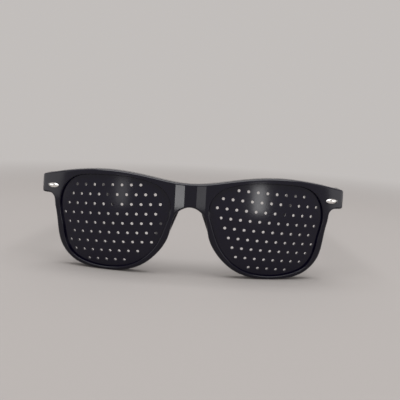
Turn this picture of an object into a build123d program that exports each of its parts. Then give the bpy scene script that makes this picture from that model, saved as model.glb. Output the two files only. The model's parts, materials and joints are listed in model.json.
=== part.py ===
"""Pinhole glasses: a black moulded front with two snap-in pinhole lenses and two folding temples.

Frame of the part, in millimetres: +X to the wearer's left, +Y from the front back to the ears, +Z up.
The glasses stand open on the rims' lowest points and the ear tips, at z = 0.
The origin lies on that surface, below the middle of the footprint.
The front is one curved shell: a sphere behind each eye, joined by a cylinder across the bridge.
"""
from build123d import *

import os
from math import asin, cos, degrees, radians, sin, sqrt

# Sizes of the front, as an optician measures them
eye_size = 53.4
lens_opening_height = 44.0
bridge_width = 17.8
bridge_height = 10.8
face_radius = 125.0
face_centre_x = 21.0
end_reach = 10.2
end_turn = 8.9
front_thickness = 4.4
rim_bottom_width = 1.5
rim_side_width = 3.0
rim_top_width = 2.5
rim_edge_bevel = 0.6
rim_back_edge_bevel = 0.45
opening_edge_bevel = 0.35
brow_drop = 4.6
relief_depth = 0.9
relief_flat_width = 5.6
relief_width = 14.0

# Endpieces, where the front turns back to meet the temples
end_height = 8.8
end_wall = 4.3
end_corner_radius = 2.2
end_inner_radius = 2.5
notch_inset = 6.6
notch_radius = 3.2

# Nose pads, moulded on the back of the rims
pad_height = 19.0
pad_reach = 9.0
pad_thickness = 3.4
pad_lean = 21.0
pad_splay = 24.0
pad_toe_radius = 6.5
pad_edge_bevel = 0.8
pad_x = 9.6
pad_z = 23.6
pad_root = 2.0

# Lenses: domed plates with a staggered field of pinholes
lens_thickness = 1.2
lens_setback = 1.2
lens_groove_depth = 0.75
lens_clearance = 0.06
pinhole_pitch = 4.48
pinhole_radius = 0.65
pinhole_back_radius = 0.85
pinhole_sides = 6
pinhole_margin = 1.9
pinhole_row_tilt = 3.2
pinhole_shift_left = -1.25
pinhole_shift_right = -0.1
pinhole_shift_up = -0.3

# Temples
temple_thickness = 4.0
temple_tip_thickness = 3.2
temple_gap = 0.1
temple_edge_bevel = 0.8
temple_inset = 0.3
temple_slope = 6.0
bend_start = 92.0
bend_radius = 28.0
ear_angle = 42.0
temple_height = 10.2
waist_height = 7.8
ear_height = 9.6
bow_start = 55.0
tip_bow = 3.0

# Hinges: three knuckles on a screw
hinge_inset = 1.8
knuckle_radius = 1.6
knuckle_height = 1.9
middle_knuckle_height = 2.0
knuckle_gap = 0.08
knuckle_clearance = 0.2
bore_radius = 0.75
leaf_thickness = 1.0
leaf_recess = 0.7
leaf_clearance = 0.05
front_leaf_length = 6.5
temple_leaf_length = 11.0
screw_radius = 0.7
screw_head_radius = 1.25
screw_head_height = 0.8
screw_slot_width = 0.35
screw_slot_depth = 0.4

# Oval metal studs on the endpieces
stud_length = 6.6
stud_height = 2.5
stud_proud = 0.6
stud_recess = 0.5
stud_edge_bevel = 0.35
stud_clearance = 0.05
stud_from_end = 6.3
stud_below_top = 5.0

# One overrun serves every cut
overrun = 30.0
# Faces that meet at more degrees than this have a sharp edge between them
sharp_angle = 30.0

# Lens opening, from its nose side down and round: shares of its width and height about its centre
opening_shares = [
    (-0.500, 0.228), (-0.468, 0.024), (-0.407, -0.169), (-0.312, -0.328), (-0.170, -0.447), (0.052, -0.500),
    (0.239, -0.472), (0.369, -0.397), (0.435, -0.283), (0.470, -0.078), (0.500, 0.160), (0.470, 0.322),
    (0.382, 0.442), (0.201, 0.494), (0.006, 0.500), (-0.265, 0.467), (-0.424, 0.385),
]
# Brow line from the bridge to the end: shares of the half width and of the brow's drop
brow_shares = [(0.0, 0.98), (0.276, 0.41), (0.552, 0.0), (0.772, 0.30), (1.0, 1.0)]
# Where the rim's outer edge takes its points along the opening: shares of the way round
rim_shares = [0.57, 0.52, 0.46, 0.40, 0.35, 0.30, 0.25, 0.20, 0.14, 0.08, 0.02]
# The bridge's arch beside its top: shares of the bridge's width across and of its height down
arch_shares = [(0.24, 0.13)]
# Where along the temple its shoulder, waist and ear piece lie: shares of its length
shoulder_share = 0.22
waist_share = 0.62
ear_share = 0.84

half_width = bridge_width / 2 + eye_size + end_reach
joint_y = face_radius - sqrt(face_radius**2 - (half_width - face_centre_x) ** 2) + end_turn
lens_x = bridge_width / 2 + eye_size / 2
lens_z = rim_bottom_width + lens_opening_height / 2
brow_z = lens_z + lens_opening_height / 2 + rim_top_width
end_top = brow_z - brow_drop
end_bottom = end_top - end_height
bridge_bottom = brow_z - brow_drop * brow_shares[0][1] - bridge_height
stud_x = half_width - stud_from_end
stud_z = end_top - stud_below_top
hinge_z = (end_top + end_bottom) / 2
temple_outer_x = half_width - temple_inset
temple_inner_x = temple_outer_x - temple_thickness
hinge_x = temple_inner_x - hinge_inset
hinge_height = middle_knuckle_height + 2 * knuckle_gap + 2 * knuckle_height
leaf_outer_x = temple_inner_x + leaf_recess
ear_radius = ear_height / 2
bend_end = bend_start + bend_radius * radians(ear_angle - temple_slope)
bend_drop = bend_radius * (cos(radians(temple_slope)) - cos(radians(ear_angle)))
ear_drop = hinge_z - bend_start * sin(radians(temple_slope)) - bend_drop - ear_radius
temple_length = bend_end + ear_drop / sin(radians(ear_angle))


def mirrored(points):
    """Points from the middle outwards, made whole by their mirror images."""
    return [(-x, z) for x, z in reversed(points) if x] + list(points)


def bowl(depth, side_x, corner_radius):
    """Region behind the front's plan curve, or behind a curve a given depth inside it."""
    radius = face_radius - depth
    side_y = face_radius - sqrt(radius**2 - (side_x - face_centre_x) ** 2)
    back_y = joint_y + overrun
    turn = degrees(asin((side_x - face_centre_x) / radius))
    half = Curve() + [
        Line((0, depth), (face_centre_x, depth)),
        CenterArc((face_centre_x, face_radius), radius, -90, turn),
        Line((side_x, side_y), (side_x, back_y)),
    ]
    whole = half + mirror(half, Plane.YZ) + Line((-side_x, back_y), (side_x, back_y))
    face = make_face(whole)
    corners = [v for v in face.vertices() if abs(v.X) > face_centre_x and v.Y < joint_y]
    corners = [v for v in corners if abs(v.X) > half_width - end_wall - end_corner_radius]
    return fillet(corners, corner_radius)


def swung(section):
    """A plan section swung about the two faces' common axis, well past the lenses' height."""
    axis = Axis((0, face_radius, 0), (1, 0, 0))
    swing = degrees(asin(lens_opening_height / (face_radius - joint_y)))
    return Pos(0, 0, lens_z) * revolve(section.rotate(axis, -swing), axis, 2 * swing)


def front_shell():
    """The curved wall with its turned-back ends."""
    section = bowl(0, half_width, end_corner_radius)
    section -= bowl(front_thickness, half_width - end_wall, end_inner_radius)
    return swung(section)


def bridge_relief():
    """The room before the bridge's sunk panel and its two sloped sides."""
    half = [(relief_flat_width / 2, relief_depth), (relief_width / 2, 0), (relief_width / 2, -relief_depth)]
    return swung(Polygon(*mirrored(half), align=None))


def opening_curve(grow=0.0):
    """The left lens's opening as a closed smooth curve in x and z, optionally larger all round."""
    points = [(lens_x + u * eye_size, lens_z + v * lens_opening_height) for u, v in opening_shares]
    curve = Spline(*points, periodic=True)
    if grow == 0:
        return curve
    count = 2 * len(points)
    return Spline(*[beside(curve, i / count, grow) for i in range(count)], periodic=True)


def outward(curve, share):
    """The direction away from the lens's centre, square to the curve."""
    along = curve.tangent_at(share)
    out = Vector(along.Y, -along.X)
    return out if out.dot(curve.position_at(share) - Vector(lens_x, lens_z)) > 0 else -out


def beside(curve, share, distance):
    """A point a distance outside the curve."""
    point = curve.position_at(share) + outward(curve, share) * distance
    return point.X, point.Y


def rim_point(curve, share):
    """A point of the rim's outer edge, where the rim is as wide as the way it faces asks."""
    sideways = abs(outward(curve, share).X)
    return beside(curve, share, rim_bottom_width + (rim_side_width - rim_bottom_width) * sideways)


def front_outline():
    """The outline of the whole front, seen from before, in x and z."""
    beyond = half_width + front_thickness
    brow = [(x * half_width, brow_z - drop * brow_drop) for x, drop in brow_shares]
    opening = opening_curve()
    arch = [(0, bridge_bottom)]
    arch += [(x * bridge_width, bridge_bottom - drop * bridge_height) for x, drop in arch_shares]
    arch += [rim_point(opening, share) for share in reversed(rim_shares)]
    notch = (half_width - notch_inset, end_bottom)
    edges = [Spline(*mirrored(brow)), Spline(*mirrored(arch))]
    for side in (-1, 1):
        steps = [brow[-1], (beyond, end_top), (beyond, end_bottom), notch, arch[-1]]
        corners = [(side * x, z) for x, z in steps]
        edges += [Line(a, b) for a, b in zip(corners, corners[1:])]
    face = make_face(Curve() + edges)
    low = [v for v in face.vertices() if abs(v.Y - end_bottom) < rim_edge_bevel]
    return fillet([v for v in low if abs(abs(v.X) - notch[0]) < rim_edge_bevel], notch_radius)


def through(face, side=1):
    """A face in x and z run through the front from before to behind."""
    solid = extrude(Plane.XZ * face, overrun, both=True)
    return solid if side > 0 else mirror(solid, Plane.YZ)


def lens_blank(grow, front_depth, back_depth):
    """The left lens's domed plate between two depths, larger than the opening all round."""
    centre = Pos(face_centre_x, face_radius, lens_z)
    dome = centre * (Sphere(face_radius - front_depth) - Sphere(face_radius - back_depth))
    return dome & through(make_face(opening_curve(grow)))


def face_plane(x, z):
    """A plane on the front's surface, facing out of it."""
    across = max(x - face_centre_x, 0)
    out = Vector(across, -sqrt(face_radius**2 - across**2 - (z - lens_z) ** 2), z - lens_z)
    foot = Vector(x - across, face_radius, lens_z)
    return Plane(foot + out, x_dir=(-out.Y, out.X, 0), z_dir=out)


def sharp_edges(solid):
    """Edges where two faces meet at a plain angle, without the joins between tangent faces."""
    faces_beside = {}
    for face in solid.faces():
        for edge in face.edges():
            faces_beside.setdefault(edge, []).append(face)
    found = ShapeList()
    for edge, faces in faces_beside.items():
        at = edge.position_at(0.5)
        if len(faces) == 2 and faces[0].normal_at(at).get_angle(faces[1].normal_at(at)) > sharp_angle:
            found.append(edge)
    return found


def depth_at(point):
    """How deep a point lies behind the front's surface."""
    across = max(abs(point.X) - face_centre_x, 0)
    return face_radius - sqrt(across**2 + (point.Y - face_radius) ** 2 + (point.Z - lens_z) ** 2)


def block(low, high):
    """A box between two corners."""
    size = [b - a for a, b in zip(low, high)]
    return Pos(*low) * Box(*size, align=Align.MIN)


def nose_pad():
    """The left pad: a fin with a round toe, leaning and splayed like the side of a nose."""
    fin = Rectangle(pad_reach + pad_root, pad_height, align=(Align.MIN, Align.CENTER))
    fin = fillet(fin.vertices().group_by(Axis.X)[-1], pad_toe_radius)
    pad = extrude(fin, pad_thickness / 2, both=True)
    pad = chamfer([e for e in pad.edges() if e.center().X > pad_root / 2], pad_edge_bevel)
    start = Plane((pad_x, front_thickness - pad_root, pad_z), x_dir=(0, 1, 0), z_dir=(1, 0, 0))
    placed = (start * pad).rotate(Axis(start.origin, (0, 0, 1)), -pad_splay)
    return placed.rotate(Axis(start.origin, (0, 1, 0)), -pad_lean)


def stud_shape(grow=0.0, top=stud_proud):
    """The oval stud, or the recess it is seated in, on a plane at its middle."""
    outline = Ellipse(stud_length / 2 + grow, stud_height / 2 + grow)
    return Pos(0, 0, -stud_recess) * extrude(outline, stud_recess + top)


def front_stud():
    """The left stud, seated in the endpiece."""
    stud = stud_shape()
    stud = chamfer(stud.edges().group_by(Axis.Z)[-1], stud_edge_bevel)
    return face_plane(stud_x, stud_z) * stud


def stud_seat():
    """The left stud's recess."""
    return face_plane(stud_x, stud_z) * stud_shape(stud_clearance, overrun)


def leaf_seat():
    """The shallow recess for both leaves of the left hinge, along the inner faces that carry them."""
    reach = hinge_height / 2 + leaf_clearance
    low = (temple_inner_x - overrun, joint_y - front_leaf_length - leaf_clearance, hinge_z - reach)
    high = (leaf_outer_x, joint_y + temple_leaf_length + leaf_clearance, hinge_z + reach)
    return block(low, high)


def on_outside(point):
    """Whether a point lies nearer the front's outer surface than its inner one."""
    return depth_at(point) < front_thickness / 2 or abs(point.X) > half_width - end_wall / 2


def on_opening(point):
    """Whether a point lies on the front edge of a lens opening."""
    beside_curve = opening_curve().distance_to(Vector(abs(point.X), point.Z))
    return depth_at(point) < leaf_clearance and beside_curve < leaf_clearance


def build_front():
    """The front: shell, nose pads, lens openings with their grooves, hinge recesses and stud seats."""
    front = front_shell() & extrude(Plane.XZ.offset(-joint_y) * front_outline(), joint_y + overrun)
    for bevel, from_before in ((rim_edge_bevel, True), (rim_back_edge_bevel, False)):
        edges = [e for e in sharp_edges(front) if e.position_at(0.5).Y < joint_y - leaf_clearance]
        outer = [e for e in edges if on_outside(e.position_at(0.5))]
        front = chamfer(outer if from_before else [e for e in edges if e not in outer], bevel)
    groove = lens_blank(
        lens_groove_depth + lens_clearance,
        lens_setback - lens_clearance,
        lens_setback + lens_thickness + lens_clearance,
    )
    opening = through(make_face(opening_curve())) + groove
    front -= [opening, mirror(opening, Plane.YZ)]
    edges = [e for e in front.edges() if on_opening(e.position_at(0.5))]
    front = chamfer(edges, opening_edge_bevel) - bridge_relief()
    for cut in (leaf_seat(), stud_seat()):
        front -= [cut, mirror(cut, Plane.YZ)]
    pad = nose_pad() - (lens_blank(0, 0, front_thickness) + groove)
    front += [pad, mirror(pad, Plane.YZ)]
    above = block((-2 * half_width, -overrun, 0), (2 * half_width, joint_y + overrun, brow_z + overrun))
    return front & above


def pinhole_spots(side):
    """Yaw and pitch on the lens's sphere, in degrees, of each pinhole that fits inside the opening."""
    margin = make_face(opening_curve(-pinhole_margin))
    radius = face_radius - lens_setback
    middle = degrees(asin((lens_x - face_centre_x) / radius))
    shift = pinhole_shift_left if side > 0 else pinhole_shift_right
    tilt = radians(pinhole_row_tilt)
    reach = int(eye_size / pinhole_pitch / 2) + 2
    spots = []
    for row in range(-reach, reach + 1):
        for column in range(-reach, reach + 1):
            out = (column + 0.5 * (row % 2)) * pinhole_pitch + shift
            up = row * pinhole_pitch + pinhole_shift_up
            yaw = middle + degrees((out * cos(tilt) + up * sin(tilt)) / radius)
            pitch = degrees((up * cos(tilt) - out * sin(tilt)) / radius)
            x = face_centre_x + radius * sin(radians(yaw)) * cos(radians(pitch))
            z = lens_z + radius * sin(radians(pitch))
            if margin.is_inside((x, z, 0)):
                spots.append((yaw, pitch))
    return spots


def build_lens(side):
    """A lens: its domed plate, with pinholes square to the surface that widen towards the eye."""
    plate = lens_blank(lens_groove_depth, lens_setback, lens_setback + lens_thickness)
    middle = face_radius - lens_setback - lens_thickness / 2
    flare = pinhole_back_radius - pinhole_radius
    wide_end = RegularPolygon(pinhole_back_radius + flare, pinhole_sides)
    narrow_end = RegularPolygon(pinhole_radius - flare, pinhole_sides)
    pin = loft([Pos(0, 0, -1.5 * lens_thickness) * wide_end, Pos(0, 0, 1.5 * lens_thickness) * narrow_end])
    pins = []
    for yaw, pitch in pinhole_spots(side):
        aim = Pos(face_centre_x, face_radius, lens_z) * Rot(0, 0, yaw) * Rot(90 - pitch, 0, 0)
        pins.append(aim * Pos(0, 0, middle) * pin)
    lens = plate - pins
    return lens if side > 0 else mirror(lens, Plane.YZ)


def temple_point(distance):
    """The temple's middle line in y and z, with its downward slope in degrees, a distance from the joint."""
    slope = radians(temple_slope)
    if distance <= bend_start:
        return joint_y + distance * cos(slope), hinge_z - distance * sin(slope), slope
    turned = slope + min(distance - bend_start, bend_end - bend_start) / bend_radius
    past = max(distance - bend_end, 0)
    y = joint_y + bend_start * cos(slope) + bend_radius * (sin(turned) - sin(slope)) + past * cos(turned)
    z = hinge_z - bend_start * sin(slope) - bend_radius * (cos(slope) - cos(turned)) - past * sin(turned)
    return y, z, turned


def temple_edge_point(distance, reach):
    """A point of the temple's top edge, or with a negative reach of its bottom edge."""
    y, z, turned = temple_point(distance)
    return y + reach * sin(turned), z + reach * cos(turned)


def build_temple():
    """The left temple: its side outline and its plan outline run through each other, then rounded."""
    stations = [
        (-end_height / 2, end_height / 2),
        (0, end_height / 2),
        (shoulder_share * temple_length, temple_height / 2),
        (waist_share * temple_length, waist_height / 2),
        (ear_share * temple_length, ear_radius),
        (temple_length, ear_radius),
    ]
    top = [temple_edge_point(distance, half) for distance, half in stations]
    bottom = [temple_edge_point(distance, -half) for distance, half in stations]
    y, z, turned = temple_point(temple_length)
    tip = (y + ear_radius * cos(turned), z - ear_radius * sin(turned))
    side_edges = [Spline(*top), ThreePointArc(top[-1], tip, bottom[-1]), Spline(*bottom)]
    side_edges.append(Line(bottom[0], top[0]))
    side_face = Plane.YZ.offset(temple_outer_x) * make_face(Curve() + side_edges)

    back_y = y + overrun
    straight_y = joint_y + bow_start
    butt_y = joint_y + temple_gap
    plan_edges = []
    for x, end_x in (
        (temple_outer_x, temple_outer_x - tip_bow),
        (temple_inner_x, temple_outer_x - tip_bow - temple_tip_thickness),
    ):
        run = Line((x, butt_y), (x, straight_y))
        plan_edges += [run, TangentArc(run @ 1, (end_x, back_y), tangent=run % 1)]
    plan_edges.append(Line((temple_outer_x, butt_y), (temple_inner_x, butt_y)))
    plan_edges.append(Line(plan_edges[1] @ 1, plan_edges[3] @ 1))
    plan_face = make_face(Curve() + plan_edges)

    temple = extrude(side_face, overrun, both=True) & extrude(plan_face, brow_z + overrun)
    edges = [e for e in sharp_edges(temple) if e.position_at(0.5).Y > butt_y + leaf_clearance]
    return chamfer(edges, temple_edge_bevel) - leaf_seat()


def knuckle_ring(radius, low, height):
    """An upright cylinder about the left hinge's axis."""
    ring = Cylinder(radius, height, align=(Align.CENTER, Align.CENTER, Align.MIN))
    return Pos(hinge_x, joint_y, low) * ring


def hinge_leaf(own, others, front_y, back_y, web_y):
    """One leaf of the left hinge: a plate in its recess, with its own knuckles and room for the others."""
    low = hinge_z - hinge_height / 2
    inner_x = leaf_outer_x - leaf_thickness
    leaf = block((inner_x, front_y, low), (leaf_outer_x, back_y, low + hinge_height))
    for start, height in others:
        room = knuckle_radius + knuckle_clearance
        leaf -= knuckle_ring(room, start - knuckle_gap, height + 2 * knuckle_gap)
    for start, height in own:
        low_corner = (hinge_x, min(web_y, joint_y), start)
        high_corner = (leaf_outer_x, max(web_y, joint_y), start + height)
        leaf += [knuckle_ring(knuckle_radius, start, height), block(low_corner, high_corner)]
    return leaf - knuckle_ring(bore_radius, low - overrun, 2 * overrun)


def build_hinge():
    """The left hinge: front leaf, temple leaf and screw."""
    low = hinge_z - hinge_height / 2
    middle = [(hinge_z - middle_knuckle_height / 2, middle_knuckle_height)]
    outer = [(low, knuckle_height), (low + hinge_height - knuckle_height, knuckle_height)]
    front_leaf = hinge_leaf(outer, middle, joint_y - front_leaf_length, joint_y, joint_y - knuckle_radius)
    temple_leaf = hinge_leaf(
        middle, outer, joint_y + temple_gap, joint_y + temple_leaf_length, joint_y + knuckle_radius
    )
    screw = knuckle_ring(screw_radius, low, hinge_height)
    head_z = low + hinge_height
    head = knuckle_ring(screw_head_radius, head_z, screw_head_height)
    head = chamfer(head.edges().group_by(Axis.Z)[-1], screw_slot_width / 2)
    floor_z = head_z + screw_head_height - screw_slot_depth
    slot_low = (hinge_x - screw_slot_width / 2, joint_y - overrun, floor_z)
    slot_high = (hinge_x + screw_slot_width / 2, joint_y + overrun, head_z + overrun)
    return front_leaf, temple_leaf, screw + head - block(slot_low, slot_high)


front_leaf, temple_leaf, screw = build_hinge()
temple = build_temple()
stud = front_stud()
parts = {"front_frame": build_front(), "left_lens": build_lens(1), "right_lens": build_lens(-1)}
for name, solid in (
    ("temple", temple),
    ("front_hinge", front_leaf),
    ("temple_hinge", temple_leaf),
    ("hinge_screw", screw),
    ("front_stud", stud),
):
    parts["left_" + name] = solid
    parts["right_" + name] = mirror(solid, Plane.YZ)

depth = temple.bounding_box().max.Y
os.makedirs("parts", exist_ok=True)
for name, solid in parts.items():
    export_step(Pos(0, -depth / 2, 0) * solid, f"parts/{name}.step")
print("depth", depth, "hinge axis", hinge_x, joint_y - depth / 2)
print("pinholes", len(pinhole_spots(1)), len(pinhole_spots(-1)))
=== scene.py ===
"""Looks of the pinhole glasses: a glossy black front, two domed plates of pinholes, and folding temples."""
import json
import logging
import math
from dataclasses import dataclass, field
from enum import Enum
from functools import partial
from typing import Callable, Optional, Sequence, Union

import bmesh
import bpy
import numpy as np
from mathutils import Matrix, Vector
from mathutils.geometry import delaunay_2d_cdt

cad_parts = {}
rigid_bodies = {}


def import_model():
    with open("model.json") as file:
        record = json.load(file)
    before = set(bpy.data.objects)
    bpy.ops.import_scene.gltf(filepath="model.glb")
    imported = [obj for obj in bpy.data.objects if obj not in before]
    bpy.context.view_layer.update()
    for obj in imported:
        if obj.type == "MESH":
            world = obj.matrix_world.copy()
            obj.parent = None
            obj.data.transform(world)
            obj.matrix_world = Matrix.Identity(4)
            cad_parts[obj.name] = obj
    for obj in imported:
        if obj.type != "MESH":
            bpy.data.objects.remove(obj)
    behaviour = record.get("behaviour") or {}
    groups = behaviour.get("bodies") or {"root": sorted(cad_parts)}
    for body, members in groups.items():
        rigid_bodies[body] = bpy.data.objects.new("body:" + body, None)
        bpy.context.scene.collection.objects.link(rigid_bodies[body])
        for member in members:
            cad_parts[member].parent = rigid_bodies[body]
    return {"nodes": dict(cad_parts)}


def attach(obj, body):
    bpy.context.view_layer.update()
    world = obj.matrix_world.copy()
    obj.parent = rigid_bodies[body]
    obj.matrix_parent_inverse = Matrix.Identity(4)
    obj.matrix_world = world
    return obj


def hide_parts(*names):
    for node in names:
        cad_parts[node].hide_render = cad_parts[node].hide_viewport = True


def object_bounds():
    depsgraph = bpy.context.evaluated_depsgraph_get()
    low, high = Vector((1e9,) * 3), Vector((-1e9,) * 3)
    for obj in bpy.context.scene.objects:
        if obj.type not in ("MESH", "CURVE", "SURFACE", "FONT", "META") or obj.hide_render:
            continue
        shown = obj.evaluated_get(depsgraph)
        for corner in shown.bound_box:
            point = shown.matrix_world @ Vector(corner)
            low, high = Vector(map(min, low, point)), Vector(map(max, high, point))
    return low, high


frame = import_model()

Array = np.ndarray
Face = Callable[..., tuple[Array, Array]]
Spans = tuple[tuple[float, float, float], tuple[float, float, float]]
CAD_BOX = np.array([list(corner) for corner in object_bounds()])
MM = 0.001
WELD = 2e-6
log = logging.getLogger("glasses")


class Side(Enum):
    """A side of the wearer, with the sign of its x."""

    LEFT = 1
    RIGHT = -1

    @property
    def word(self) -> str:
        """The side's name as the solids have it."""
        return self.name.lower()


class Slot(Enum):
    """The finishes that the record names."""

    FRAME = "black_frame_plastic"
    LENS = "black_lens_plastic"
    HINGE = "hinge_metal"
    SCREW = "screw_metal"
    STUD = "stud_metal"


def unit(vectors: Array) -> Array:
    """Vectors, each brought to length one."""
    return vectors / np.linalg.norm(vectors, axis=-1, keepdims=True)


def lattice(spans: Spans) -> Array:
    """The points of a plane grid, from the start, end and step of both its ways."""
    across, up = (np.arange(*span) for span in spans)
    return np.array([(a, b) for a in across for b in up])


def spline(points: Sequence[Sequence[float]], closed: bool = False, fine: int = 40) -> Array:
    """A smooth cubic curve through points in a plane, spaced by its chords.

    Args:
        points: The points, in order.
        closed: Whether the curve comes back to its first point.
        fine: How many steps each stretch gets.

    Returns:
        The curve as many points; a closed one doesn't repeat its first.
    """
    p = np.array(points, float)
    if closed:
        p = np.vstack([p, p[:1]])
    n, run = len(p), np.diff(p, axis=0)
    h = np.linalg.norm(run, axis=1)
    rise = run / h[:, None]
    a, b = np.zeros((n, n)), np.zeros((n, 2))
    for i in range(1, n - 1):
        a[i, i - 1 : i + 2] = 1 / h[i - 1], 2 / h[i - 1] + 2 / h[i], 1 / h[i]
        b[i] = 3 * (rise[i - 1] / h[i - 1] + rise[i] / h[i])
    if closed:
        a[0, 0], a[0, 1], a[0, n - 2] = 2 / h[-1] + 2 / h[0], 1 / h[0], 1 / h[-1]
        b[0] = 3 * (rise[-1] / h[-1] + rise[0] / h[0])
        a[-1, 0], a[-1, -1] = 1, -1
    else:
        t = np.concatenate([[0], np.cumsum(h)])
        for row, near in ((0, slice(0, 4)), (n - 1, slice(n - 4, n))):
            a[row, row] = 1
            b[row] = np.polyfit(t[near] - t[row], p[near], 3)[2]
    m = np.linalg.solve(a, b)
    s, h = np.linspace(0, 1, fine, endpoint=False)[:, None], h[:, None, None]
    curve = (2 * s**3 - 3 * s**2 + 1) * p[:-1, None] + (s**3 - 2 * s**2 + s) * h * m[:-1, None]
    curve = curve + (3 * s**2 - 2 * s**3) * p[1:, None] + (s**3 - s**2) * h * m[1:, None]
    return np.vstack([curve.reshape(-1, 2), p[:0] if closed else p[-1:]])


def along(curve: Array, shares: Array, closed: bool = False) -> Array:
    """Points of a curve at shares of its length.

    Args:
        curve: The curve's points.
        shares: The shares, from 0 to 1.
        closed: Whether the curve comes back to its start.

    Returns:
        The points.
    """
    line = np.vstack([curve, curve[:1]]) if closed else curve
    way = np.concatenate([[0], np.cumsum(np.linalg.norm(np.diff(line, axis=0), axis=1))])
    at = np.asarray(shares) * way[-1]
    return np.column_stack([np.interp(at, way, line[:, i]) for i in (0, 1)])


def corner_arc(before: Array, corner: Array, after: Array, radius: float, steps: int = 8) -> Array:
    """The arc that rounds a corner between two straight runs.

    Args:
        before: A point of the run that comes in.
        corner: Where the runs meet.
        after: A point of the run that goes out.
        radius: The arc's radius.
        steps: How many steps the arc has.

    Returns:
        The arc's points, from the first run to the second.
    """
    a, b = unit(before - corner), unit(after - corner)
    half = math.acos(float(a @ b)) / 2
    middle = corner + unit(a + b) * radius / math.sin(half)
    start, end = (corner + way * radius / math.tan(half) - middle for way in (a, b))
    s = np.linspace(0, 1, steps + 1)[:, None]
    return middle + unit(start * (1 - s) + end * s) * radius


def inside(points: Array, loops: Sequence[Array]) -> Array:
    """Tells which points lie inside a closed loop and outside the loops within it.

    Args:
        points: The points.
        loops: The loop and those within it.

    Returns:
        Whether each point does.
    """
    x, y = points[:, :1], points[:, 1:]
    odd = np.zeros(len(points), bool)
    for a in loops:
        b = np.roll(a, -1, axis=0)
        crosses = (a[:, 1] > y) != (b[:, 1] > y)
        with np.errstate(divide="ignore", invalid="ignore"):
            at = (b[:, 0] - a[:, 0]) * (y - a[:, 1]) / (b[:, 1] - a[:, 1]) + a[:, 0]
        odd ^= (crosses & (x < at)).sum(1) % 2 == 1
    return odd


@dataclass
class Chain:
    """An edge of a slab as points in the slab's plane, with the way into the slab at each."""

    base: Array
    inward: Array
    closed: bool = False

    @staticmethod
    def of(base: Array, towards: float, closed: bool = False, upright_ends: bool = False) -> "Chain":
        """A chain from its points alone.

        Args:
            base: The points.
            towards: Which way is inwards: +1 to the left of the walk, -1 to its right.
            closed: Whether it comes back to its start.
            upright_ends: Whether its ends move straight up or down, as on a plane cut.

        Returns:
            The chain.
        """
        steps = np.roll(base, -1, axis=0) - np.roll(base, 1, axis=0) if closed else np.gradient(base, axis=0)
        run = unit(steps)
        inward = np.column_stack([-run[:, 1], run[:, 0]]) * towards
        if upright_ends:
            for end in (0, -1):
                inward[end] = 0, math.copysign(1, inward[end, 1])
        return Chain(base, inward, closed)

    def moved(self, distance: float) -> Array:
        """The chain's points, moved into the slab."""
        return self.base + self.inward * distance


def linked(name: str, data: bpy.types.ID) -> bpy.types.Object:
    """Puts an object in the scene.

    Args:
        name: Its name.
        data: Its mesh, lamp or camera.

    Returns:
        The object.
    """
    made = bpy.data.objects.new(name, data)
    bpy.context.scene.collection.objects.link(made)
    return made


def smooth_object(bm: bmesh.types.BMesh, name: str) -> bpy.types.Object:
    """Makes a smooth object out of a loose mesh and reports its faces and open edges.

    Args:
        bm: The loose mesh, which is then gone.
        name: The object's name.

    Returns:
        The object.
    """
    open_edges = sum(1 for e in bm.edges if len(e.link_faces) != 2)
    data = bpy.data.meshes.new(name)
    bm.to_mesh(data)
    bm.free()
    data.polygons.foreach_set("use_smooth", [True] * len(data.polygons))
    log.info("%s: %d faces, %d open edges", name, len(data.polygons), open_edges)
    return linked(name, data)


@dataclass
class Skin:
    """A closed skin in millimetres, gathered face by face, whose corners know which way they face."""

    places: list = field(default_factory=list)
    facings: list = field(default_factory=list)

    def add(self, places: Array, facings: Array) -> None:
        """Adds a face, turned so that it looks the way its corners do.

        Args:
            places: Its corners.
            facings: Their directions.
        """
        fan = (np.cross(places[i] - places[0], places[i + 1] - places[0]) for i in range(1, len(places) - 1))
        turn = -1 if sum(fan) @ facings.sum(0) < 0 else 1
        self.places.append(places[::turn])
        self.facings.append(facings[::turn])

    def strip(self, places: Array, facings: Array, closed: bool) -> None:
        """Adds the quads between rings of points.

        Args:
            places: Rings by points by three.
            facings: The same, for the directions.
            closed: Whether each ring closes.
        """
        count = places.shape[1]
        for i in range(len(places) - 1):
            for j in range(count if closed else count - 1):
                k = (j + 1) % count
                pick = ([i, i + 1, i + 1, i], [j, j, k, k])
                self.add(places[pick], facings[pick])

    def cap(self, rings: Sequence[Array], facing: Sequence[float]) -> None:
        """Closes a plane cut through a slab with one face.

        Args:
            rings: The ends of its rings.
            facing: The face's direction.
        """
        ends = np.vstack(rings)
        spread = ends - ends.mean(0)
        order = np.argsort(np.arctan2(spread[:, 2], spread[:, 0]))
        self.add(ends[order], np.repeat(np.array([facing], float), len(ends), 0))

    def mirrored(self) -> "Skin":
        """The same skin on the other side of x = 0."""
        flip = np.array([-1.0, 1.0, 1.0])
        return Skin([p[::-1] * flip for p in self.places], [n[::-1] * flip for n in self.facings])

    def joined(self, other: "Skin") -> "Skin":
        """This skin and another as one."""
        return Skin(self.places + other.places, self.facings + other.facings)

    def mesh(self, name: str) -> bpy.types.Object:
        """Makes the skin an object, welded, held inside the solids' box and with its own shading directions.

        Args:
            name: The object's name.

        Returns:
            The object.
        """
        bm = bmesh.new()
        layer = bm.loops.layers.float_vector.new("facing")
        for places, facings in zip(self.places, self.facings):
            face = bm.faces.new([bm.verts.new(p) for p in np.clip(places * MM, *CAD_BOX)])
            for loop, facing in zip(face.loops, facings):
                loop[layer] = facing
        bmesh.ops.remove_doubles(bm, verts=bm.verts[:], dist=WELD)
        bmesh.ops.delete(bm, geom=[v for v in bm.verts if not v.link_faces], context="VERTS")
        made = smooth_object(bm, name)
        stored = made.data.attributes["facing"]
        flat = np.zeros(len(made.data.loops) * 3, np.float32)
        stored.data.foreach_get("vector", flat)
        made.data.attributes.remove(stored)
        made.data.normals_split_custom_set(flat.reshape(-1, 3).tolist())
        return made


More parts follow.
